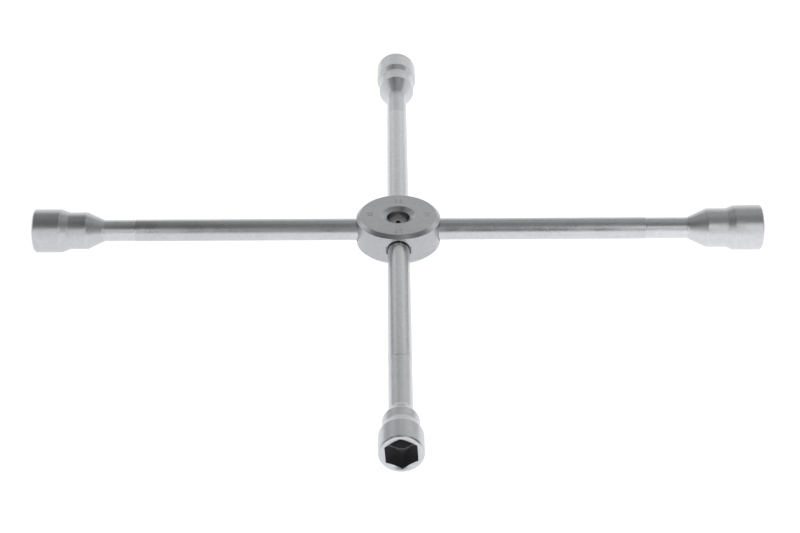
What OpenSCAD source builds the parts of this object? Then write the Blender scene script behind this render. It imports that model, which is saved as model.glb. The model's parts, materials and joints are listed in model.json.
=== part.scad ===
// Four-way wheel-nut wrench for heavy vehicles, in millimetres.
//
// A round hub holds four bars, and each bar ends in a hexagonal socket.
// The hub's axis is Z, the arms lie along X and Y, and the origin is the hub's centre.
// Front is -Y, left is -X, rear is +Y and right is +X.
// Along an arm, every station is a distance from the hub's axis.

/* [Arms] */
// Hub axis to the socket mouth, on the left, rear and right arms
reach = 360; // [355:1:440]
// The front arm's reach, a little less because its socket is the smallest
front_reach = 355; // [350:1:440]
// Diameter of the bars
bar_d = 21.5; // [19:0.5:21.5]
// How much thinner the turned band on each side of the weld is
turned_less = 0.4; // [0.2:0.1:1]
// Station of the weld between bar and socket
weld_station = 275; // [263:1:275]
// Station where the front bar's turned band begins
front_band_start = 228; // [60:1:260]
// Station where the left bar's turned band begins
left_band_start = 260; // [60:1:262]
// Station where the rear bar's turned band begins
rear_band_start = 236; // [60:1:260]
// Station where the right bar's turned band begins
right_band_start = 245; // [60:1:260]
// Chamfer on the inner end of a bar
bar_end_chamfer = 1.6; // [0.5:0.1:2.5]

/* [All sockets] */
// Length of the neck cone for each millimetre of its radial rise
neck_run = 2.15; // [1.5:0.05:2.3]
// Chamfer round the outside of the mouth
rim_chamfer = 1.3; // [0.5:0.1:1.6]
// How far the lead-in's mouth is outside the hexagon's flats
lead_in = 2.7; // [2.6:0.05:2.8]
// Angle between the lead-in's wall and the arm, in degrees
lead_in_angle = 65; // [45:1:75]

/* [Front socket] */
// Hexagon, across flats
front_hex = 27; // [24:1:29]
// Outer diameter of the wide body
front_body_d = 38.6; // [38.2:0.1:46]
// Outer diameter of the waist
front_waist_d = 31.8; // [31.3:0.1:32.8]
// Length of the wide body
front_body_len = 23.3; // [20:0.1:31]
// Length of the cone between waist and body
front_step_len = 9.7; // [5:0.1:10]
// Length of the waist
front_waist_len = 11; // [9:0.1:13]
// How far the hexagon is turned about its arm, in degrees
front_hex_turn = 4; // [0:0.5:30]

/* [Left socket] */
// Hexagon, across flats
left_hex = 30; // [24:1:33]
// Outer diameter of the wide body
left_body_d = 42.6; // [42.2:0.1:46]
// Outer diameter of the waist
left_waist_d = 36.2; // [35.7:0.1:37.2]
// Length of the wide body
left_body_len = 26.5; // [20:0.1:31]
// Length of the cone between waist and body
left_step_len = 8; // [5:0.1:10]
// Length of the waist
left_waist_len = 17.9; // [9:0.1:19.9]

/* [Rear socket] */
// Hexagon, across flats
rear_hex = 32; // [24:1:33]
// Outer diameter of the wide body
rear_body_d = 43.7; // [43.3:0.1:46]
// Outer diameter of the waist
rear_waist_d = 38.5; // [38:0.1:39.5]
// Length of the wide body
rear_body_len = 29; // [20:0.1:31]
// Length of the cone between waist and body
rear_step_len = 8; // [5:0.1:10]
// Length of the waist
rear_waist_len = 20; // [9:0.1:22]

/* [Right socket] */
// Hexagon, across flats
right_hex = 33; // [24:1:33]
// Outer diameter of the wide body
right_body_d = 44.6; // [44.2:0.1:46]
// Outer diameter of the waist
right_waist_d = 38.7; // [38.2:0.1:39.7]
// Length of the wide body
right_body_len = 27.8; // [20:0.1:31]
// Length of the cone between waist and body
right_step_len = 7; // [5:0.1:10]
// Length of the waist
right_waist_len = 19.7; // [9:0.1:21.7]

/* [Hub] */
// Outer diameter of the hub
hub_d = 83; // [78:0.5:96]
// Height of the hub
hub_h = 33.5; // [33.5:0.5:40]
// Chamfer on the hub's two outer edges
hub_chamfer = 3.5; // [1:0.1:4]
// Diameter of the centre hole
centre_d = 23; // [19:0.5:25]
// Diameter of the countersinks at both ends of the centre hole
countersink_d = 33.5; // [27:0.5:37]
// Gap between the centre hole's wall and the inner end of a bar
bar_end_gap = 1; // [0.5:0.1:2]
// Width of the groove round each bar where it enters the hub
entry_gap = 1.1; // [0.6:0.05:1.5]
// Depth of that groove, from the widest point of the hub
entry_depth = 4; // [3:0.1:6]

/* [Spring pins] */
// Diameter of the spring pins
pin_d = 6; // [5:0.5:7]
// Length of the spring pins
pin_len = 30; // [28:1:31]
// Wall of the spring pins
pin_wall = 1.25; // [1:0.05:1.5]
// Width of the slot along each pin
pin_slot = 1; // [0.6:0.1:1.5]
// How far the pins sit inside the hub's underside
pin_recess = 0.6; // [0.3:0.1:1]

/* [Hidden] */
$fn = 96;
// Small overshoot that keeps cuts clear of the faces they break through
over = 1;
// A hexagon's corner radius for each millimetre across flats
corner_ratio = 1 / (2 * cos(30));
// Half angle of a drill's point and of the hub's countersinks
drill_half_angle = 59;
countersink_half_angle = 60;
// Share of a hex size that is the depth of the hexagon
hex_depth_share = 0.9;
// How much smaller than the hex the round bore behind it is
relief_less = 1;
// Solid left between that bore and the end of the waist
relief_end_wall = 1;
// Centre-drill hole in the inner end of a bar: mouth, pilot and depth
centre_drill_d = 5;
centre_pilot_d = 2.5;
centre_pilot_depth = 6;
centre_drill_half_angle = 30;
// Length of the shoulder where a turned band begins
turned_shoulder = 1;
// Chamfer on the ends of the spring pins
pin_chamfer = 0.6;
// Clear space above a spring pin in its blind hole
pin_end_gap = 0.3;

// Directions of the arms about Z
FRONT = -90;
LEFT = 180;
REAR = 90;
RIGHT = 0;

turned_d = bar_d - turned_less;
bar_start = centre_d / 2 + bar_end_gap;
pin_station = (bar_start + hub_d / 2) / 2;
pin_bottom = pin_recess - hub_h / 2;

// Turns a child built along +Z so that it lies along the arm in this direction
module on_arm(direction) {
    rotate([0, 0, direction])
        rotate([0, 90, 0])
            children();
}

// Puts an upright child on the pin's axis in this arm
module at_pin(direction) {
    rotate([0, 0, direction])
        translate([pin_station, 0, 0])
            children();
}

// Upright hole for a spring pin, open below and blind above
module pin_hole() {
    translate([0, 0, -hub_h / 2 - over])
        cylinder(d = pin_d, h = over + pin_recess + pin_len + pin_end_gap);
}

// Bore for a bar, with the wider groove where the bar enters the hub
module bar_bore() {
    cylinder(d = bar_d, h = hub_d / 2 + over);
    translate([0, 0, hub_d / 2 - entry_depth])
        cylinder(d = bar_d + 2 * entry_gap, h = entry_depth + over);
}

module hub_blank() {
    half = hub_h / 2;
    sink = (countersink_d - centre_d) / 2 / tan(countersink_half_angle);
    rotate_extrude()
        polygon([
            [centre_d / 2, sink - half],
            [countersink_d / 2, -half],
            [hub_d / 2 - hub_chamfer, -half],
            [hub_d / 2, hub_chamfer - half],
            [hub_d / 2, half - hub_chamfer],
            [hub_d / 2 - hub_chamfer, half],
            [countersink_d / 2, half],
            [centre_d / 2, half - sink]
        ]);
}

module hub() {
    color([0.62, 0.63, 0.65])
        difference() {
            hub_blank();
            for (direction = [FRONT, LEFT, REAR, RIGHT]) {
                on_arm(direction) bar_bore();
                at_pin(direction) pin_hole();
            }
        }
}

// Outline of a bar, as radius and station
module bar_outline(band_start) {
    polygon([
        [0, bar_start],
        [bar_d / 2 - bar_end_chamfer, bar_start],
        [bar_d / 2, bar_start + bar_end_chamfer],
        [bar_d / 2, band_start],
        [turned_d / 2, band_start + turned_shoulder],
        [turned_d / 2, weld_station],
        [0, weld_station]
    ]);
}

// Hole left by the centre drill in a bar's inner end
module centre_drill_hole() {
    cone_depth = (centre_drill_d - centre_pilot_d) / 2 / tan(centre_drill_half_angle);
    rotate_extrude()
        polygon([
            [0, -over],
            [centre_drill_d / 2, -over],
            [centre_drill_d / 2, 0],
            [centre_pilot_d / 2, cone_depth],
            [centre_pilot_d / 2, centre_pilot_depth],
            [0, centre_pilot_depth + centre_pilot_d / 2 / tan(drill_half_angle)]
        ]);
}

module bar(direction, band_start) {
    color([0.74, 0.75, 0.77])
        difference() {
            on_arm(direction)
                difference() {
                    rotate_extrude() bar_outline(band_start);
                    translate([0, 0, bar_start]) centre_drill_hole();
                }
            at_pin(direction) pin_hole();
        }
}

// Outline of a socket without its hollow, as radius and station
module socket_outline(mouth, body_d, waist_d, body_len, step_len, waist_len) {
    body_start = mouth - body_len;
    waist_end = body_start - step_len;
    waist_start = waist_end - waist_len;
    neck_end = waist_start - (waist_d - turned_d) / 2 * neck_run;
    polygon([
        [0, weld_station],
        [turned_d / 2, weld_station],
        [turned_d / 2, neck_end],
        [waist_d / 2, waist_start],
        [waist_d / 2, waist_end],
        [body_d / 2, body_start],
        [body_d / 2, mouth - rim_chamfer],
        [body_d / 2 - rim_chamfer, mouth],
        [0, mouth]
    ]);
}

// Hollow of a socket: conical lead-in, hexagon, then a round bore with a drill point.
// It is built inwards from the mouth, which is at height 0.
module socket_hollow(hex, bore_depth) {
    hex_depth = hex * hex_depth_share;
    bore_r = (hex - relief_less) / 2;
    lead_in_r = hex / 2 + lead_in;
    lead_in_depth = (lead_in_r - bore_r) / tan(lead_in_angle);
    translate([0, 0, -hex_depth])
        cylinder(r = hex * corner_ratio, h = hex_depth + over, $fn = 6);
    rotate_extrude()
        polygon([
            [0, over],
            [lead_in_r, over],
            [lead_in_r, 0],
            [bore_r, -lead_in_depth],
            [bore_r, -bore_depth],
            [0, -bore_depth - bore_r / tan(drill_half_angle)]
        ]);
}

module socket(direction, mouth, hex, body_d, waist_d, body_len, step_len, waist_len, hex_turn = 0) {
    bore_depth = body_len + step_len + waist_len - relief_end_wall;
    color([0.80, 0.81, 0.82])
        on_arm(direction)
            difference() {
                rotate_extrude()
                    socket_outline(mouth, body_d, waist_d, body_len, step_len, waist_len);
                translate([0, 0, mouth])
                    rotate([0, 0, hex_turn])
                        socket_hollow(hex, bore_depth);
            }
}

// Slotted spring pin, driven up from the hub's underside
module pin(direction) {
    outer = pin_d / 2;
    inner = outer - pin_wall;
    color([0.35, 0.35, 0.36])
        at_pin(direction)
            translate([0, 0, pin_bottom])
                difference() {
                    rotate_extrude()
                        polygon([
                            [inner, 0],
                            [outer - pin_chamfer, 0],
                            [outer, pin_chamfer],
                            [outer, pin_len - pin_chamfer],
                            [outer - pin_chamfer, pin_len],
                            [inner, pin_len]
                        ]);
                    translate([0, -pin_slot / 2, -over])
                        cube([pin_d, pin_slot, pin_len + 2 * over]);
                }
}

hub();
bar(FRONT, front_band_start);  // bar_front
bar(LEFT, left_band_start);  // bar_left
bar(REAR, rear_band_start);  // bar_rear
bar(RIGHT, right_band_start);  // bar_right
socket(FRONT, front_reach, front_hex, front_body_d, front_waist_d,  // socket_front
        front_body_len, front_step_len, front_waist_len, front_hex_turn);
socket(LEFT, reach, left_hex, left_body_d, left_waist_d,  // socket_left
        left_body_len, left_step_len, left_waist_len);
socket(REAR, reach, rear_hex, rear_body_d, rear_waist_d,  // socket_rear
        rear_body_len, rear_step_len, rear_waist_len);
socket(RIGHT, reach, right_hex, right_body_d, right_waist_d,  // socket_right
        right_body_len, right_step_len, right_waist_len);
pin(FRONT);  // pin_front
pin(LEFT);  // pin_left
pin(REAR);  // pin_rear
pin(RIGHT);  // pin_right
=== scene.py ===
"""Looks of a four-way wheel-nut wrench, in metres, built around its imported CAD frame.

Every piece of an arm is modelled lying along its own +X axis and then turned about Z, so that
a material's Object coordinates always run along the arm. Front is -Y and left is -X.
Outlines are lists of (station, radius, rounding): where a corner is and the arc that rounds it.
"""
import json
import math
from collections import namedtuple

import bmesh
import bpy
from mathutils import Matrix, Vector


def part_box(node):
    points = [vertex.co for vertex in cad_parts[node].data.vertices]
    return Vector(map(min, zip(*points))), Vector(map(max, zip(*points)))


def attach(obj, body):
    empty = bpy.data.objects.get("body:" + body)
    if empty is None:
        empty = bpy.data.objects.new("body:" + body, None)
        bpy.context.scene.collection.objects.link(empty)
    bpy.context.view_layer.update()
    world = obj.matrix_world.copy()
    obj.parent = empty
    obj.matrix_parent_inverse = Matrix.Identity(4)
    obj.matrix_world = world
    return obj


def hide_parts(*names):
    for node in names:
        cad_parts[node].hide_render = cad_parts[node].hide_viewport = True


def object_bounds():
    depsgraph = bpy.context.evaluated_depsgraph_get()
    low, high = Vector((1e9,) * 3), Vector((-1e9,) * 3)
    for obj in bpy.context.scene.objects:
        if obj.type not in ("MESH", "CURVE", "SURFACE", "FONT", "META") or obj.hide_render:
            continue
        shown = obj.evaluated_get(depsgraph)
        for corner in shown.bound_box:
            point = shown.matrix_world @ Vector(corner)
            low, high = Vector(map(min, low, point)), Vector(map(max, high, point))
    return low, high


MM = 0.001

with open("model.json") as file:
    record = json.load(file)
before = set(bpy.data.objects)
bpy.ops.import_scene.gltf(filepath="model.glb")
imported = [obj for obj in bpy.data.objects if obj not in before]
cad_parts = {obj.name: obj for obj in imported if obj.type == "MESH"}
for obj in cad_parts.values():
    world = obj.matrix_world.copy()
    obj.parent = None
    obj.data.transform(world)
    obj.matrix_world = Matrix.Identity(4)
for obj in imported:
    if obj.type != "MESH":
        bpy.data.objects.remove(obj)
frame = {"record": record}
cad_low, cad_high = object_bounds()

# ---------------------------------------------------------------- sizes, from the frame

MOUNTS = {mount["name"]: mount for mount in frame["record"]["mounts"]}
HUB_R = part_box("hub")[1].x
HUB_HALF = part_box("hub")[1].z
FLOOR_Z = cad_low.z
CENTRE_R = MOUNTS["centre_bore"]["dims"]["r_mm"] * MM
CENTRE_WALL_HALF = MOUNTS["centre_bore"]["dims"]["length_mm"] * MM / 2

# ---------------------------------------------------------------- sizes, shared with the part

BAR_R = 10.75 * MM
BAND_R = 10.55 * MM
BAND_SHOULDER = 1.0 * MM
BAR_END_CHAMFER = 1.6 * MM
RIM_CHAMFER = 1.3 * MM
LEAD_IN = 2.7 * MM
LEAD_IN_ANGLE = math.radians(65)
NECK_RUN = 2.15
HEX_DEPTH_SHARE = 0.9
HUB_CHAMFER = 3.5 * MM
COUNTERSINK_HALF_ANGLE = math.radians(60)
ENTRY_GAP = 1.1 * MM
ENTRY_DEPTH = 4.0 * MM
PIN_R = 3.0 * MM
PIN_WALL = 1.25 * MM
PIN_SLOT = 1.0 * MM
PIN_CHAMFER = 0.6 * MM
PIN_END_GAP = 0.3 * MM
CENTRE_DRILL_R = 2.5 * MM
CENTRE_PILOT_R = 1.25 * MM
CENTRE_PILOT_DEPTH = 6.0 * MM
CENTRE_DRILL_HALF_ANGLE = math.radians(30)
DRILL_HALF_ANGLE = math.radians(59)

DIGIT_HEIGHT = 5.8 * MM
DIGIT_DEPTH = 0.2 * MM
DIGIT_SPACING = 1.15

HUB_EDGE = 0.35 * MM
HUB_BORE_EDGE = 0.3 * MM
HEX_CORNER = 0.35 * MM

# An arm's lengths are in millimetres and its angles in degrees: the direction about Z, the
# hexagon across flats, the waist's radius, the lengths of body, step and waist, the stations
# where the turned band begins and where the hub is stamped, and how far the hexagon is turned
Arm = namedtuple(
    "Arm", "name degrees hex waist_r body_len step_len waist_len band_start stamp hex_turn"
)
ARMS = [
    Arm("front", -90, 27, 15.9, 23.3, 9.7, 11.0, 228, 31.2, 4.0),
    Arm("left", 180, 30, 18.1, 26.5, 8.0, 17.9, 260, 27.8, 0.0),
    Arm("rear", 90, 32, 19.25, 29.0, 8.0, 20.0, 236, 26.4, 0.0),
    Arm("right", 0, 33, 19.35, 27.8, 7.0, 19.7, 245, 28.8, 0.0),
]

# ---------------------------------------------------------------- mesh building

ARC_STEPS = 5
ROUND_SEGMENTS = 144
PIN_SEGMENTS = 48
HEX_FLAT_STEPS = 14
LONGEST_SIDE = 12 * MM
# How far from a rounded corner the plain side beside it begins
SUPPORT = 0.25 * MM
# How far a cutter reaches past the surface that it opens
BEYOND = 1.0 * MM
# Points nearer to each other than this are one point
WELD_DISTANCE = 0.002 * MM
# Edges that bend more than this stay crisp
SHARP_ANGLE = math.radians(32)


def arc(before, corner, after, radius):
    """Points of the arc that rounds the corner between two straight sides."""
    to_before = (before - corner).normalized()
    to_after = (after - corner).normalized()
    half = to_before.angle(to_after) / 2
    centre = corner + (to_before + to_after).normalized() * (radius / math.sin(half))
    start = corner + to_before * (radius / math.tan(half)) - centre
    end = corner + to_after * (radius / math.tan(half)) - centre
    sweep = start.angle(end)
    points = []
    for step in range(ARC_STEPS + 1):
        share = step / ARC_STEPS
        from_start = math.sin((1 - share) * sweep)
        from_end = math.sin(share * sweep)
        points.append(centre + (start * from_start + end * from_end) / math.sin(sweep))
    return points


def rounded(outline, loop=False):
    """(point, wear) pairs along an outline whose corners are rounded.

    A convex arc, one that turns right, is worn; the plain sides beside it aren't.
    """
    corners = [Vector(corner[:2]) for corner in outline]
    count = len(corners)
    made = []
    for index, corner in enumerate(corners):
        radius = outline[index][2]
        at_end = not loop and index in (0, count - 1)
        if at_end or radius == 0:
            made.append((corner, 0.0))
            continue
        before = corners[index - 1]
        after = corners[(index + 1) % count]
        points = arc(before, corner, after, radius)
        turn = (corner - before).cross(after - corner)
        wear = 1.0 if turn < 0 else 0.0
        lead = min(SUPPORT, (points[0] - before).length / 3)
        trail = min(SUPPORT, (after - points[-1]).length / 3)
        made.append((points[0] + (before - corner).normalized() * lead, 0.0))
        made.extend((point, wear) for point in points)
        made.append((points[-1] + (after - corner).normalized() * trail, 0.0))
    return made


def split_long(profile):
    """The profile with extra points, so that no side is longer than LONGEST_SIDE."""
    made = [profile[0]]
    for (before, before_wear), (point, wear) in zip(profile, profile[1:]):
        parts = math.ceil((point - before).length / LONGEST_SIDE)
        for part in range(1, parts):
            share = part / parts
            made.append((before.lerp(point, share), before_wear + (wear - before_wear) * share))
        made.append((point, wear))
    return made


def skin(name, rings, loop=False, hollow_from=None, caps=()):
    """Mesh object through rings of (points, wear); a ring of one point closes an end.

    The faces from ring number hollow_from on take the second material. The caps are further
    faces, as tuples of point numbers.
    """
    vertices = []
    wears = []
    starts = []
    for points, wear in rings:
        starts.append(len(vertices))
        vertices.extend(points)
        wears.extend([wear] * len(points))
    faces = []
    second = []
    pairs = list(range(len(rings) - 1))
    for index in pairs + ([len(rings) - 1] if loop else []):
        following = (index + 1) % len(rings)
        near, far = starts[index], starts[following]
        near_count, far_count = len(rings[index][0]), len(rings[following][0])
        for point in range(max(near_count, far_count)):
            beside = (point + 1) % max(near_count, far_count)
            if near_count == 1:
                faces.append((near, far + beside, far + point))
            elif far_count == 1:
                faces.append((near + point, near + beside, far))
            else:
                faces.append((near + point, near + beside, far + beside, far + point))
            second.append(hollow_from is not None and index >= hollow_from)
    faces.extend(caps)
    second.extend([False] * len(caps))
    mesh = bpy.data.meshes.new(name)
    mesh.from_pydata(vertices, [], faces)
    worn = mesh.attributes.new("wear", "FLOAT", "POINT")
    worn.data.foreach_set("value", wears)
    mesh.polygons.foreach_set("material_index", [int(value) for value in second])
    mesh.validate()
    mesh.update()
    made = bpy.data.objects.new(name, mesh)
    bpy.context.scene.collection.objects.link(made)
    return made


def ring(radius, station, axis, angles=None):
    """Circle of points about the X or Z axis; one point when the radius is nought."""
    if radius < 1e-7:
        angles = [0.0]
        radius = 0.0
    if angles is None:
        angles = [2 * math.pi * part / ROUND_SEGMENTS for part in range(ROUND_SEGMENTS)]
    if axis == "X":
        return [(station, radius * math.cos(a), radius * math.sin(a)) for a in angles]
    return [(radius * math.cos(a), radius * math.sin(a), station) for a in angles]


def turned(name, outline, axis="X", loop=False):
    """Solid of revolution of an outline, with its corners rounded."""
    profile = split_long(rounded(outline, loop))
    rings = [(ring(point.y, point.x, axis), wear) for point, wear in profile]
    return skin(name, rings, loop)


def keep_shape(target):
    """Applies the modifiers on an object to its mesh."""
    evaluated = target.evaluated_get(bpy.context.evaluated_depsgraph_get())
    plain = bpy.data.meshes.new_from_object(evaluated)
    old = target.data
    target.modifiers.clear()
    target.data = plain
    bpy.data.meshes.remove(old)


def cut(target, cutter):
    """Takes the cutter's solid out of the target, then removes the cutter."""
    bpy.context.view_layer.update()
    change = target.modifiers.new("cut", "BOOLEAN")
    change.operation = "DIFFERENCE"
    change.solver = "EXACT"
    change.object = cutter
    keep_shape(target)
    bpy.data.objects.remove(cutter)


def place(piece, turn=0.0, at=(0, 0, 0)):
    """Moves a piece, modelled at the origin, to its place in the frame."""
    piece.matrix_world = Matrix.Rotation(turn, 4, "Z") @ Matrix.Translation(at)
    bpy.context.view_layer.update()
    return piece


def clean_mesh(mesh):
    """Merges points that fall together, drops faces with no area and closes slits left by a cut."""
    work = bmesh.new()
    work.from_mesh(mesh)
    bmesh.ops.remove_doubles(work, verts=work.verts, dist=WELD_DISTANCE)
    bmesh.ops.dissolve_degenerate(work, edges=work.edges, dist=WELD_DISTANCE)
    slits = [edge for edge in work.edges if edge.is_boundary]
    bmesh.ops.holes_fill(work, edges=slits, sides=4)
    bmesh.ops.triangulate(work, faces=[face for face in work.faces if len(face.verts) > 4])
    work.to_mesh(mesh)
    work.free()


def finish_piece(piece, node, materials):
    """Gives a piece its materials and smooth shading, attaches it to the root body and hides the CAD
    part it stands for.
    """
    clean_mesh(piece.data)
    for material in materials:
        piece.data.materials.append(material)
    mesh = piece.data
    mesh.polygons.foreach_set("use_smooth", [True] * len(mesh.polygons))
    mesh.set_sharp_from_angle(angle=SHARP_ANGLE)
    normals = piece.modifiers.new("normals", "WEIGHTED_NORMAL")
    normals.keep_sharp = True
    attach(piece, "root")
    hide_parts(node)


# ---------------------------------------------------------------- materials

# How much paler a worn edge is than its metal
WORN_GAIN = 1.08
# How far the grain swings the roughness up and down
GRAIN_ROUGHNESS = 0.08


def node(tree, kind, inputs=None, **settings):
    """Adds a node; inputs holds values, or sockets to link from."""
    made = tree.nodes.new(kind)
    for name, value in settings.items():
        setattr(made, name, value)
    for name, value in (inputs or {}).items():
        if isinstance(value, bpy.types.NodeSocket):
            tree.links.new(value, made.inputs[name])
        else:
            made.inputs[name].default_value = value
    return made


def math_node(tree, operation, *values):
    """Result of a maths operation on values or sockets."""
    return node(
        tree, "ShaderNodeMath", dict(enumerate(values)), operation=operation
    ).outputs[0]


def map_range(tree, value, low, high, to_low, to_high):
    """Value carried from one range to another, smoothly and clamped."""
    inputs = {"Value": value, "From Min": low, "From Max": high, "To Min": to_low, "To Max": to_high}
    return node(
        tree, "ShaderNodeMapRange", inputs, interpolation_type="SMOOTHSTEP"
    ).outputs["Result"]


def noise(tree, vector, scale, detail=2.0, seed=0.0):
    """Noise value round 0.5, at so many features a metre."""
    inputs = {"Vector": vector, "Scale": scale, "Detail": detail, "W": seed}
    return node(
        tree, "ShaderNodeTexNoise", inputs, noise_dimensions="4D"
    ).outputs["Fac"]


def stretched(tree, vector, factors):
    """Coordinates scaled along each axis."""
    inputs = {0: vector, 1: factors}
    return node(
        tree, "ShaderNodeVectorMath", inputs, operation="MULTIPLY"
    ).outputs["Vector"]


def turned_coordinates(tree, vector, axis):
    """(distance from the axis, station along it, 0): constant along a lathe's cutting lines."""
    parts = node(tree, "ShaderNodeSeparateXYZ", {0: vector}).outputs
    across = {"X": ("Y", "Z"), "Z": ("X", "Y")}[axis]
    first = math_node(tree, "POWER", parts[across[0]], 2.0)
    second = math_node(tree, "POWER", parts[across[1]], 2.0)
    radius = math_node(tree, "SQRT", math_node(tree, "ADD", first, second))
    return node(
        tree, "ShaderNodeCombineXYZ", {"X": radius, "Y": parts[axis]}
    ).outputs["Vector"]


def steel(
    name,
    tone,
    roughness,
    grain="blasted",
    axis="X",
    anisotropy=0.0,
    grain_depth=0.0025 * MM,
):
    """Metal with a grain, cloudy roughness, faint staining and polished, worn edges.

    grain is "blasted", "drawn" (lines along the axis) or "turned" (lines round it).
    """
    material = bpy.data.materials.new(name)
    material.use_nodes = True
    tree = material.node_tree
    tree.nodes.clear()
    where = node(tree, "ShaderNodeTexCoord").outputs["Object"]
    seed = math_node(tree, "MULTIPLY", node(tree, "ShaderNodeObjectInfo").outputs["Random"], 20.0)

    if grain == "drawn":
        lines = stretched(tree, where, (0.02, 1.0, 1.0))
        fine = noise(tree, lines, 2600, 3.0, seed)
    elif grain == "turned":
        lines = turned_coordinates(tree, where, axis)
        fine = noise(tree, lines, 2600, 3.0, seed)
    else:
        fine = noise(tree, where, 1500, 3.0, seed)
    cloud = noise(tree, where, 45, 3.0, seed)
    stain = noise(tree, where, 260, 4.0, seed)
    worn = node(tree, "ShaderNodeAttribute", attribute_name="wear").outputs["Fac"]
    patchy = map_range(tree, noise(tree, where, 700, 2.0, seed), 0.35, 0.6, 0.35, 1.0)
    edge = math_node(tree, "MULTIPLY", worn, patchy)

    rough = map_range(tree, cloud, 0.3, 0.7, roughness * 0.88, roughness * 1.12)
    swing = math_node(tree, "MULTIPLY", math_node(tree, "SUBTRACT", fine, 0.5), GRAIN_ROUGHNESS)
    rough = math_node(tree, "ADD", rough, swing)
    rough = math_node(tree, "MULTIPLY", rough, map_range(tree, edge, 0.0, 1.0, 1.0, 0.85))

    shade = map_range(tree, stain, 0.3, 0.7, 0.955, 1.03)
    shade = math_node(tree, "MULTIPLY", shade, map_range(tree, cloud, 0.3, 0.7, 0.97, 1.03))
    plain = node(tree, "ShaderNodeVectorMath", {0: tone, "Scale": shade}, operation="SCALE")
    mixed = node(tree, "ShaderNodeMix", {0: edge}, data_type="RGBA")
    tree.links.new(plain.outputs["Vector"], mixed.inputs["A"])
    mixed.inputs["B"].default_value = (*[part * WORN_GAIN for part in tone], 1)

    bump = node(tree, "ShaderNodeBump", {"Height": fine, "Strength": 1.0, "Distance": grain_depth})
    shader = node(tree, "ShaderNodeBsdfPrincipled", {
        "Metallic": 1.0,
        "Anisotropic": anisotropy,
        "Base Color": mixed.outputs["Result"],
        "Roughness": rough,
        "Normal": bump.outputs["Normal"],
    })
    if anisotropy:
        tangent = node(tree, "ShaderNodeTangent", direction_type="RADIAL", axis=axis)
        tree.links.new(tangent.outputs["Tangent"], shader.inputs["Tangent"])
        shader.inputs["Anisotropic Rotation"].default_value = 0.25 if grain == "turned" else 0.0
    output = node(tree, "ShaderNodeOutputMaterial")
    tree.links.new(shader.outputs["BSDF"], output.inputs["Surface"])
    return material


# ---------------------------------------------------------------- the wrench's pieces


def stations(node_name, direction):
    """Nearest and farthest distance from the hub's axis that a node reaches along its arm."""
    along = Vector((math.cos(direction), math.sin(direction), 0))
    ends = [corner.dot(along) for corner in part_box(node_name)]
    return min(ends), max(ends)


def pin_hole(direction, station):
    """Cutter for a spring pin's blind hole, open at the hub's underside."""
    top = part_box("pin_front")[1].z + PIN_END_GAP
    bottom = -HUB_HALF - BEYOND
    outline = [(bottom, 0, 0), (bottom, PIN_R, 0), (top, PIN_R, 0), (top, 0, 0)]
    cutter = turned("pin_hole", outline, axis="Z")
    return place(cutter, direction, (station, 0, 0))


def digits(text, direction, station):
    """Cutter for a number stamped in the hub's top face, its head pointing outwards."""
    curve = bpy.data.curves.new("digits", "FONT")
    curve.body = text
    curve.align_x = "CENTER"
    curve.align_y = "CENTER"
    curve.extrude = DIGIT_DEPTH
    curve.space_character = DIGIT_SPACING
    curve.resolution_u = 4
    flat = bpy.data.objects.new("digits", curve)
    bpy.context.scene.collection.objects.link(flat)
    bpy.context.view_layer.update()
    evaluated = flat.evaluated_get(bpy.context.evaluated_depsgraph_get())
    mesh = bpy.data.meshes.new_from_object(evaluated)
    bpy.data.objects.remove(flat)
    low = min(vertex.co.y for vertex in mesh.vertices)
    high = max(vertex.co.y for vertex in mesh.vertices)
    scale = DIGIT_HEIGHT / (high - low)
    mesh.transform(Matrix.Translation((0, -(low + high) / 2, 0)))
    mesh.transform(Matrix.Diagonal((scale, scale, 1, 1)))
    cutter = bpy.data.objects.new("digits", mesh)
    bpy.context.scene.collection.objects.link(cutter)
    upright = Matrix.Rotation(-math.pi / 2, 4, "Z")
    on_face = Matrix.Translation((station, 0, HUB_HALF))
    cutter.matrix_world = Matrix.Rotation(direction, 4, "Z") @ on_face @ upright
    bpy.context.view_layer.update()
    return cutter


def make_hub(materials, pin_station):
    """Turned hub with its countersunk centre hole, bar bores, pin holes and stamped sizes."""
    sink = HUB_HALF - CENTRE_WALL_HALF
    sink_r = CENTRE_R + sink * math.tan(COUNTERSINK_HALF_ANGLE)
    flat_r = HUB_R - HUB_CHAMFER
    outline = [
        (-CENTRE_WALL_HALF, CENTRE_R, HUB_BORE_EDGE),
        (-HUB_HALF, sink_r, HUB_EDGE),
        (-HUB_HALF, flat_r, HUB_EDGE),
        (HUB_CHAMFER - HUB_HALF, HUB_R, HUB_EDGE),
        (HUB_HALF - HUB_CHAMFER, HUB_R, HUB_EDGE),
        (HUB_HALF, flat_r, HUB_EDGE),
        (HUB_HALF, sink_r, HUB_EDGE),
        (CENTRE_WALL_HALF, CENTRE_R, HUB_BORE_EDGE),
    ]
    hub = turned("hub_visual", outline, axis="Z", loop=True)
    beyond = HUB_R + 2 * BEYOND
    groove_start = HUB_R - ENTRY_DEPTH
    bore = [
        (0, 0, 0),
        (0, BAR_R, 0),
        (groove_start, BAR_R, 0),
        (groove_start, BAR_R + ENTRY_GAP, 0),
        (beyond, BAR_R + ENTRY_GAP, 0),
        (beyond, 0, 0),
    ]
    for arm in ARMS:
        direction = math.radians(arm.degrees)
        cut(hub, place(turned("bore", bore), direction))
        cut(hub, pin_hole(direction, pin_station))
        cut(hub, digits(str(arm.hex), direction, arm.stamp * MM))
    # Faces in the bar bores and the centre hole take the second material, a darker steel: painted
    # shade in these recesses.
    inside_r = CENTRE_R + 0.5 * MM
    for face in hub.data.polygons:
        x, y, z = face.center
        in_bore = min(math.hypot(x, z), math.hypot(y, z)) < BAR_R + ENTRY_GAP
        in_centre = math.hypot(x, y) < inside_r and abs(z) < CENTRE_WALL_HALF
        face.material_index = 1 if in_bore or in_centre else 0
    finish_piece(hub, "hub", materials)


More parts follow.
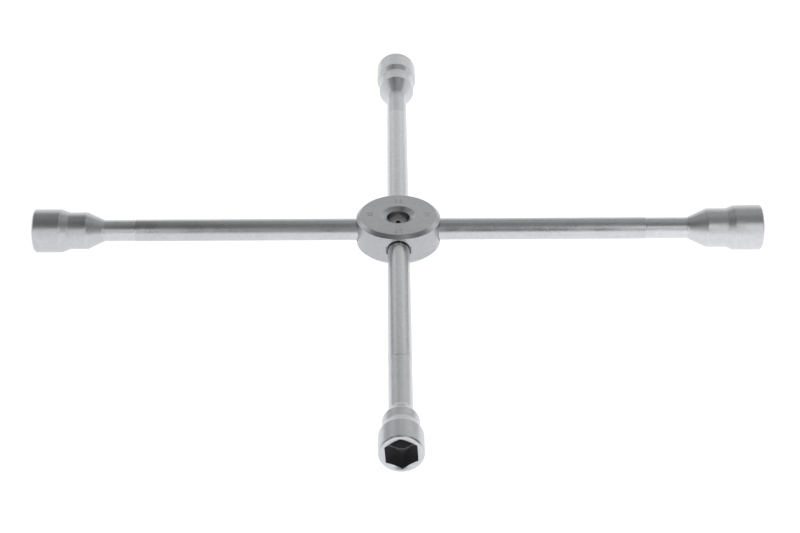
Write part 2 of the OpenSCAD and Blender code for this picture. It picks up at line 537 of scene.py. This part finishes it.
def make_bar(arm, direction, materials, pin_station):
    """Drawn bar: centre-drilled and chamfered inside the hub, turned down towards the weld."""
    start, weld_end = stations("bar_" + arm.name, direction)
    band_start = arm.band_start * MM
    cone = (CENTRE_DRILL_R - CENTRE_PILOT_R) / math.tan(CENTRE_DRILL_HALF_ANGLE)
    tip = CENTRE_PILOT_DEPTH + CENTRE_PILOT_R / math.tan(DRILL_HALF_ANGLE)
    outline = [
        (start + tip, 0, 0),
        (start + CENTRE_PILOT_DEPTH, CENTRE_PILOT_R, 0),
        (start + cone, CENTRE_PILOT_R, 0.1 * MM),
        (start, CENTRE_DRILL_R, 0.15 * MM),
        (start, BAR_R - BAR_END_CHAMFER, 0.25 * MM),
        (start + BAR_END_CHAMFER, BAR_R, 0.4 * MM),
        (band_start, BAR_R, 2.0 * MM),
        (band_start + BAND_SHOULDER, BAND_R, 2.0 * MM),
        (weld_end, BAND_R, 0),
        (weld_end, 0, 0),
    ]
    bar = turned("bar_" + arm.name + "_visual", outline)
    cut(bar, pin_hole(0.0, pin_station))
    place(bar, direction)
    shoulder_middle = band_start + BAND_SHOULDER / 2
    # The end, its chamfer and the centre drill take the third material, a darker steel: partly the
    # bare, oxidised end and partly painted shade inside the hub.
    for face in bar.data.polygons:
        x, y, z = face.center
        at_end = x < start + BAR_END_CHAMFER or math.hypot(y, z) < CENTRE_DRILL_R
        face.material_index = 2 if at_end else int(x > shoulder_middle)
    finish_piece(bar, "bar_" + arm.name, materials)


def hex_wall(angle, flats, corner):
    """Distance from a hexagon's centre to its wall; its rounded corners lie every 60 degrees."""
    off = abs((angle + math.pi / 6) % (math.pi / 3) - math.pi / 6)
    centre = flats / 2 / math.cos(math.pi / 6) - corner / math.sin(math.pi / 3)
    if off <= hex_tangent(flats, corner):
        return centre * math.cos(off) + math.sqrt(corner**2 - (centre * math.sin(off)) ** 2)
    return flats / 2 / math.cos(math.pi / 6 - off)


def hex_tangent(flats, corner):
    """Angle beside a corner at which its rounding meets the flat."""
    centre = flats / 2 / math.cos(math.pi / 6) - corner / math.sin(math.pi / 3)
    return math.atan2(corner / 2, centre + corner * math.cos(math.pi / 6))


def hex_angles(flats, corner):
    """Angles for a hexagonal hollow's grid, with the ends of its roundings on grid lines."""
    tangent = hex_tangent(flats, corner)
    part = [tangent * share for share in (0, 1 / 3, 2 / 3)]
    flat = (math.pi / 6 - tangent) / HEX_FLAT_STEPS
    part += [tangent + flat * step for step in range(HEX_FLAT_STEPS + 1)]
    sector = part + [math.pi / 3 - angle for angle in reversed(part[1:-1])]
    return [angle + side * math.pi / 3 for side in range(6) for angle in sector]


def make_socket(arm, direction, materials):
    """Turned and blasted socket with its lead-in, hexagon and round bore behind."""
    weld_end, mouth = stations("socket_" + arm.name, direction)
    flats = arm.hex * MM
    body_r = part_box("socket_" + arm.name)[1].z
    waist_r = arm.waist_r * MM
    body_start = mouth - arm.body_len * MM
    waist_end = body_start - arm.step_len * MM
    waist_start = waist_end - arm.waist_len * MM
    neck_end = waist_start - (waist_r - BAND_R) * NECK_RUN
    outside = rounded([
        (weld_end, 0, 0),
        (weld_end, BAND_R, 0),
        (neck_end, BAND_R, 8.0 * MM),
        (waist_start, waist_r, 1.6 * MM),
        (waist_end, waist_r, 2.5 * MM),
        (body_start, body_r, 2.0 * MM),
        (mouth - RIM_CHAMFER, body_r, 0.4 * MM),
        (mouth, body_r - RIM_CHAMFER, 0.3 * MM),
        (mouth, flats / 2 + LEAD_IN, 0),
    ])[:-1]
    outside = split_long(outside)

    lead_in_r = flats / 2 + LEAD_IN
    bore = MOUNTS[arm.name + "_stud_bore"]
    bore_r = bore["dims"]["r_mm"] * MM
    bore_end = weld_side_end(bore, direction)
    hex_end = mouth - flats * HEX_DEPTH_SHARE
    tip = bore_end - bore_r / math.tan(DRILL_HALF_ANGLE)
    angles = hex_angles(flats, HEX_CORNER)
    profiles = []
    for angle in angles:
        wall = hex_wall(angle, flats, HEX_CORNER)
        lead_in_depth = (lead_in_r - wall) / math.tan(LEAD_IN_ANGLE)
        profiles.append(rounded([
            (mouth, body_r, 0),
            (mouth, lead_in_r, 0.15 * MM),
            (mouth - lead_in_depth, wall, 0.15 * MM),
            (hex_end, wall, 0.12 * MM),
            (hex_end, bore_r, 0.15 * MM),
            (bore_end, bore_r, 0.6 * MM),
            (tip, 0, 0),
        ])[1:])

    turned_angles = [angle + math.radians(arm.hex_turn) + math.pi / 2 for angle in angles]
    rings = [(ring(point.y, point.x, "X", turned_angles), wear) for point, wear in outside]
    outside_count = len(rings)
    for level in range(len(profiles[0]) - 1):
        points = []
        for angle, profile in zip(turned_angles, profiles):
            point = profile[level][0]
            points.append((point.x, point.y * math.cos(angle), point.y * math.sin(angle)))
        rings.append((points, profiles[0][level][1]))
    rings.append(([(tip, 0, 0)], 0.0))
    lead_in_levels = 2 * (ARC_STEPS + 3)
    name = "socket_" + arm.name + "_visual"
    # The hexagon and the bore behind it take the second material, a darker steel: partly oxide and
    # partly painted shade in the hollow.
    socket = skin(name, rings, hollow_from=outside_count + lead_in_levels - 1)
    for face in socket.data.polygons:
        if face.material_index == 0 and face.center.x < neck_end:
            face.material_index = 2
    place(socket, direction)
    finish_piece(socket, "socket_" + arm.name, materials)


def weld_side_end(bore, direction):
    """Station of a stud bore's inner end."""
    along = Vector((math.cos(direction), math.sin(direction), 0))
    return Vector(bore["pos_m"]).dot(along) - bore["dims"]["length_mm"] * MM / 2


def make_pin(name, direction, material, pin_station):
    """Slotted spring pin: a rolled strip with chamfered ends."""
    low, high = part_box("pin_" + name)
    inner = PIN_R - PIN_WALL
    levels = [
        (low.z, PIN_R - PIN_CHAMFER),
        (low.z + PIN_CHAMFER, PIN_R),
        (high.z - PIN_CHAMFER, PIN_R),
        (high.z, PIN_R - PIN_CHAMFER),
    ]
    rings = []
    for height, outer in levels:
        points = []
        for radius in (outer, inner):
            gap = math.asin(PIN_SLOT / 2 / radius)
            turn = (2 * math.pi - 2 * gap) / PIN_SEGMENTS
            sweep = [gap + turn * step for step in range(PIN_SEGMENTS + 1)]
            if radius == inner:
                sweep.reverse()
            points += [(radius * math.cos(a), radius * math.sin(a), height) for a in sweep]
        rings.append((points, 1.0 if outer < PIN_R else 0.3))
    count = 2 * (PIN_SEGMENTS + 1)
    caps = []
    for start, flip in ((0, True), (count * (len(levels) - 1), False)):
        for step in range(PIN_SEGMENTS):
            opposite = start + count - 1 - step
            quad = (start + step, start + step + 1, opposite - 1, opposite)
            caps.append(quad[::-1] if flip else quad)
    pin = skin("pin_" + name + "_visual", rings, caps=caps)
    place(pin, direction, (pin_station, 0, 0))
    finish_piece(pin, "pin_" + name, [material])


# ---------------------------------------------------------------- stage, light and camera


def make_floor():
    """Pale, softly glowing floor under the wrench."""
    half = 60.0
    mesh = bpy.data.meshes.new("floor")
    signs = [(-1, -1), (1, -1), (1, 1), (-1, 1)]
    corners = [(across * half, along * half, FLOOR_Z) for across, along in signs]
    mesh.from_pydata(corners, [], [(0, 1, 2, 3)])
    floor = bpy.data.objects.new("floor", mesh)
    bpy.context.scene.collection.objects.link(floor)
    material = bpy.data.materials.new("floor_white")
    material.use_nodes = True
    tree = material.node_tree
    shader = tree.nodes["Principled BSDF"]
    where = node(tree, "ShaderNodeTexCoord").outputs["Object"]
    sideways = node(tree, "ShaderNodeSeparateXYZ", {0: where}).outputs["X"]
    glow = node(tree, "ShaderNodeMapRange", {
        "Value": sideways, "From Min": -0.35, "From Max": 0.35, "To Min": 0.91, "To Max": 1.11,
    })
    tree.links.new(glow.outputs["Result"], shader.inputs["Emission Strength"])
    shader.inputs["Base Color"].default_value = (0.30, 0.30, 0.31, 1)
    shader.inputs["Roughness"].default_value = 0.9
    shader.inputs["Specular IOR Level"].default_value = 0.0
    shader.inputs["Emission Color"].default_value = (0.98, 0.98, 1.0, 1)
    floor.data.materials.append(material)


def product(tree, first, second):
    """Product of two values or sockets."""
    return math_node(tree, "MULTIPLY", first, second)


def dimmed(tree, value, share):
    """A brightness with this share of it taken away."""
    return product(tree, value, math_node(tree, "SUBTRACT", 1.0, share))


def back_wall(tree, parts, height):
    """Brightness of the pale wall behind the wrench and of the softboxes at its sides."""
    shades = node(tree, "ShaderNodeValToRGB", {0: height})
    # Height of a direction (sine of its elevation) and the wall's brightness there
    fill_ramp(shades.color_ramp, [
        (0.0, 1.0), (0.42, 0.97), (0.48, 0.86), (0.53, 0.72),
        (0.60, 0.52), (0.70, 0.47), (0.87, 0.42),
    ])
    left_end = map_range(tree, parts["X"], -0.54, -0.44, 0.42, 1.0)
    right_end = map_range(tree, parts["X"], 0.42, 0.54, 1.0, 0.6)
    wall = product(tree, product(tree, shades.outputs["Color"], left_end), right_end)
    box = map_range(tree, math_node(tree, "ABSOLUTE", parts["X"]), 0.52, 0.66, 0.0, 1.1)
    box = product(tree, box, map_range(tree, parts["Y"], 0.55, 0.72, 1.0, 0.0))
    box = product(tree, box, map_range(tree, parts["Z"], 0.60, 0.80, 1.0, 0.0))
    return math_node(tree, "MAXIMUM", wall, box)


def ceiling_and_front(tree, parts):
    """Brightness of the ceiling, and of the dim room in front of the wrench below it."""
    # The ceiling is paler towards the right and the back, and dimmer at the sides in front
    rightward = map_range(tree, parts["X"], 0.0, 0.2, 0.26, 0.32)
    backward = map_range(tree, parts["Y"], 0.02, 0.22, 0.0, 0.2)
    sideways = math_node(tree, "ABSOLUTE", parts["X"])
    sides = product(
        tree,
        map_range(tree, sideways, 0.22, 0.40, 0.0, 0.4),
        map_range(tree, parts["Y"], -0.3, 0.0, 1.0, 0.0))
    ceiling = dimmed(tree, math_node(tree, "ADD", rightward, backward), sides)
    front = map_range(tree, parts["X"], -0.06, 0.03, 0.32, 0.10)
    front_share = map_range(tree, parts["Z"], 0.35, 0.65, 1.0, 0.0)
    return node(
        tree, "ShaderNodeMix", {0: front_share, 2: ceiling, 3: front}, data_type="FLOAT"
    ).outputs[0]


def dark_beam(tree, parts):
    """Share of light lost to a beam across the left of the ceiling and down the wall's top."""
    left_edge = map_range(tree, parts["X"], -0.34, -0.26, 0.0, 1.0)
    right_edge = map_range(tree, parts["X"], -0.17, -0.10, 1.0, 0.0)
    high_up = map_range(tree, parts["Z"], 0.60, 0.75, 0.0, 0.8)
    return product(tree, product(tree, left_edge, right_edge), high_up)


def make_world():
    """Studio room around the wrench: each place is the direction it is seen in from there."""
    world = bpy.data.worlds.new("studio")
    bpy.context.scene.world = world
    world.use_nodes = True
    tree = world.node_tree
    tree.nodes.clear()
    way = node(tree, "ShaderNodeTexCoord").outputs["Generated"]
    parts = node(tree, "ShaderNodeSeparateXYZ", {0: way}).outputs
    # The wall ends lower on the left, so a height there counts as a greater one
    leftness = map_range(tree, parts["X"], -0.25, -0.05, 0.08, 0.0)
    height = math_node(tree, "ADD", parts["Z"], leftness)
    on_wall = product(
        tree,
        map_range(tree, height, 0.78, 1.0, 1.0, 0.0),
        map_range(tree, parts["Y"], -0.1, 0.35, 0.0, 1.0))
    places = {0: on_wall, 2: ceiling_and_front(tree, parts), 3: back_wall(tree, parts, height)}
    room = node(tree, "ShaderNodeMix", places, data_type="FLOAT").outputs[0]
    light = dimmed(tree, room, dark_beam(tree, parts))
    shine = node(tree, "ShaderNodeBackground", {"Color": light, "Strength": 1.0})
    output = node(tree, "ShaderNodeOutputWorld")
    tree.links.new(shine.outputs[0], output.inputs["Surface"])


def fill_ramp(ramp, stops):
    """Gives a new colour ramp these (position, grey) stops, in rising order."""
    for position, _ in stops[1:-1]:
        ramp.elements.new(position)
    ramp.elements[0].position = stops[0][0]
    ramp.elements[-1].position = stops[-1][0]
    for element, (_, grey) in zip(ramp.elements, stops):
        element.color = (grey, grey, grey, 1)


def soft_panel(name, azimuth, distance, width, height, radiance):
    """Upright soft light that stands on the floor and faces the hub.

    Azimuth is in degrees from the front, to the right.
    """
    light = bpy.data.lights.new(name, "AREA")
    light.shape = "RECTANGLE"
    light.size = width
    light.size_y = height
    light.energy = radiance * math.pi * width * height
    panel = bpy.data.objects.new(name, light)
    bpy.context.scene.collection.objects.link(panel)
    around = Matrix.Rotation(math.radians(azimuth), 4, "Z")
    stand = Matrix.Translation((0, -distance, FLOOR_Z + height / 2))
    panel.matrix_world = around @ stand @ Matrix.Rotation(math.pi / 2, 4, "X")


def make_camera():
    """Camera at the photograph's viewing angle."""
    data = bpy.data.cameras.new("camera")
    data.sensor_width = 36.0
    data.lens = 76.33
    data.clip_start = 0.05
    data.clip_end = 100.0
    camera = bpy.data.objects.new("camera", data)
    bpy.context.scene.collection.objects.link(camera)
    distance = 1.68577
    azimuth, elevation, roll = -0.358, 31.237, -0.104
    pan, tilt = 0.056, -1.262

    def turn(degrees, axis):
        return Matrix.Rotation(math.radians(degrees), 4, axis)

    orbit = turn(azimuth, "Z") @ turn(90 - elevation, "X")
    aim = turn(roll, "Z") @ turn(-pan, "Y") @ turn(tilt, "X")
    camera.matrix_world = orbit @ Matrix.Translation((0, 0, distance)) @ aim
    bpy.context.scene.camera = camera


# ---------------------------------------------------------------- putting it together

hub_steel = steel("hub_turned_steel", (0.46, 0.47, 0.482), 0.35, "turned", "Z", 0.2, 0.0013 * MM)
# Painted shade: the bar bores and the centre hole get a darker steel than the hub, standing in for
# the shade in these recesses.
hub_bore_painted_shade = steel("hub_bored_steel", (0.25, 0.25, 0.25), 0.45)
bar_steel = steel("bar_drawn_steel", (0.575, 0.584, 0.592), 0.29, "drawn", "X", 0.4, 0.0011 * MM)
band_steel = steel("band_turned_steel", (0.625, 0.634, 0.642), 0.34, "turned", "X", 0.5, 0.0015 * MM)
# Bar ends, end chamfers and centre drills: darker steel, partly the bare, oxidised end and partly
# painted shade inside the hub.
bar_end_oxide_and_painted_shade = steel("bar_end_steel", (0.36, 0.36, 0.36), 0.40, "turned", "X")
socket_steel = steel("socket_satin_steel", (0.588, 0.595, 0.607), 0.36)
# Socket hexagons and bores: darker steel, partly oxide and partly painted shade in the hollow.
hex_hollow_oxide_and_painted_shade = steel("socket_hollow_oxide", (0.37, 0.37, 0.38), 0.45)
pin_steel = steel("pin_spring_steel", (0.20, 0.20, 0.21), 0.35, "drawn", "Z")

pin_station = sum(corner.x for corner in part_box("pin_right")) / 2

make_hub([hub_steel, hub_bore_painted_shade], pin_station)
for arm in ARMS:
    direction = math.radians(arm.degrees)
    make_bar(arm, direction, [bar_steel, band_steel, bar_end_oxide_and_painted_shade], pin_station)
    make_socket(arm, direction, [socket_steel, hex_hollow_oxide_and_painted_shade, band_steel])
    make_pin(arm.name, direction, pin_steel, pin_station)

make_floor()
make_world()
soft_panel("panel_left", -22.9, 3.43, 0.86, 3.0, 1.4)
soft_panel("panel_right", 22.8, 3.43, 0.87, 3.9, 1.75)
make_camera()
bpy.context.scene.view_settings.view_transform = "Standard"
